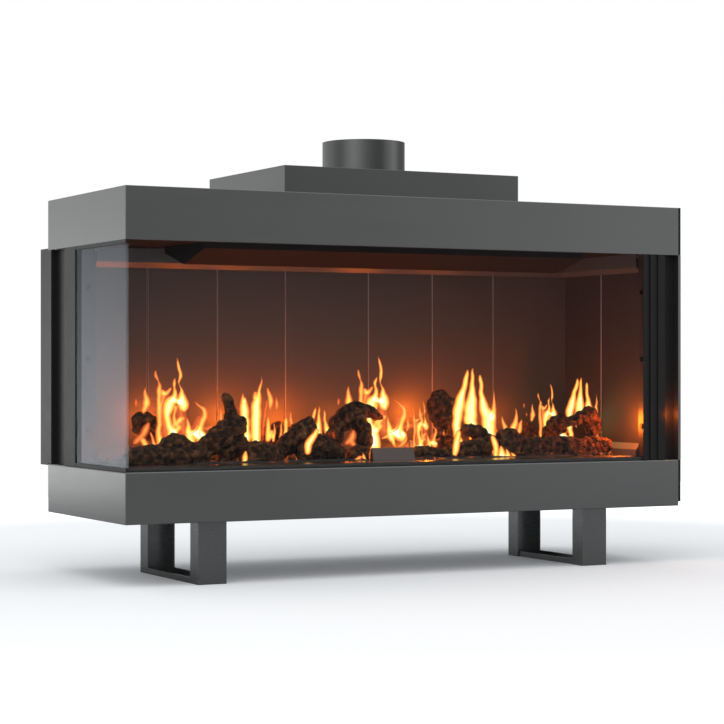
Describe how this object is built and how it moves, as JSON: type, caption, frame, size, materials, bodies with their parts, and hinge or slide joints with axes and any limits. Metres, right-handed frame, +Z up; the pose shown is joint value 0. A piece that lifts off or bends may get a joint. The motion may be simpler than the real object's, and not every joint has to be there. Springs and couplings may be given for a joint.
{
  "type": "corner gas fireplace insert",
  "caption": "Built-in gas fire with a glass corner, a charred log set on a tray burner, a dark lined firebox, a concentric flue spigot on top and low leg frames.",
  "frame": {"origin": "centre of the footprint on the floor, under the feet of the legs at their shortest", "axes": "+X to the right along the front, +Y to the back, +Z up; the front glass faces -Y and the side glass faces -X"},
  "size_m": [1.095, 0.416, 0.768],
  "materials": {
    "band": "satin metallic grey powder coat",
    "leg_black": "satin dark grey powder coat",
    "frame_black": "satin black",
    "galvanised": "zinc coated sheet",
    "stainless": "satin",
    "firebox_black": "satin heat proof black",
    "lining_board": "glossy dark glazed board",
    "screw_steel": "black oxide",
    "glass": "clear",
    "rope_seal": "woven glass tape",
    "embers": "loose granules",
    "log_ceramic": "matt, charred",
    "brass": "machined",
    "valve_body": "die cast",
    "knob_plastic": "matt",
    "pipe_metal": "drawn",
    "plate_metal": "satin, dark"
  },
  "bodies": {
    "casing": {"back_lining_1": "lining_board", "back_lining_2": "lining_board", "back_lining_3": "lining_board", "back_lining_4": "lining_board", "back_lining_5": "lining_board", "back_lining_6": "lining_board", "back_lining_7": "lining_board", "bare_plate": "plate_metal", "burner_deck": "firebox_black", "burner_injector": "brass", "burner_manifold": "galvanised", "burner_tray": "firebox_black", "casing_base": "galvanised", "casing_top": "galvanised", "ceiling_baffle": "firebox_black", "control_receiver": "knob_plastic", "ember_bed": "embers", "firebox_back": "galvanised", "firebox_floor": "firebox_black", "firebox_side": "galvanised", "flue_box": "band", "flue_deflector": "firebox_black", "gas_inlet": "brass", "gas_pipes": "pipe_metal", "gas_valve": "valve_body", "glass_channels": "frame_black", "glass_seals": "rope_seal", "hatch_hinges": "galvanised", "inner_flue_collar": "stainless", "left_glass_post": "frame_black", "left_rear_cheek": "band", "lining_end_strips": "firebox_black", "lining_rails": "firebox_black", "lining_screws": "screw_steel", "log_arch": "log_ceramic", "log_diagonal_left": "log_ceramic", "log_front_left": "log_ceramic", "log_rear_left": "log_ceramic", "logs_middle": "log_ceramic", "logs_right": "log_ceramic", "logs_right_of_plate": "log_ceramic", "lower_fascia": "band", "outer_flue_collar": "stainless", "pilot_burner": "stainless", "rear_cover": "galvanised", "right_cheek": "band", "right_glass_post": "frame_black", "right_side_panel": "band", "side_glass_trims": "frame_black", "side_lining_1": "lining_board", "side_lining_2": "lining_board", "upper_fascia": "band"},
    "leg_left": {"leg_left": "leg_black"},
    "leg_right": {"leg_right": "leg_black"},
    "front_pane": {"front_glass": "glass"},
    "side_pane": {"side_glass": "glass"},
    "hatch_left": {"relief_hatch_left": "galvanised"},
    "hatch_right": {"relief_hatch_right": "galvanised"},
    "knob": {"valve_knob": "knob_plastic"}
  },
  "joints": [
    {"name": "left_leg_height", "type": "slide", "parent": "casing", "child": "leg_left", "axis": [0, 0, -1], "range_m": [0, 0.05]},
    {"name": "right_leg_height", "type": "slide", "parent": "casing", "child": "leg_right", "axis": [0, 0, -1], "range_m": [0, 0.05]},
    {"name": "front_glass_lift", "type": "slide", "parent": "casing", "child": "front_pane", "axis": [0, 0, 1], "range_m": [0, 0.01]},
    {"name": "side_glass_lift", "type": "slide", "parent": "casing", "child": "side_pane", "axis": [0, 0, 1], "range_m": [0, 0.01]},
    {"name": "left_hatch_hinge", "type": "hinge", "parent": "casing", "child": "hatch_left", "pos_m": [-0.39187, 0.058, 0.6575], "axis": [-1, 0, 0], "range_deg": [0, 60]},
    {"name": "right_hatch_hinge", "type": "hinge", "parent": "casing", "child": "hatch_right", "pos_m": [0.38638, 0.058, 0.6575], "axis": [-1, 0, 0], "range_deg": [0, 60]},
    {"name": "valve_knob_turn", "type": "hinge", "parent": "casing", "child": "knob", "pos_m": [-0.30275, -0.021, 0.1425], "axis": [0, -1, 0], "range_deg": [0, 270]}
  ]
}
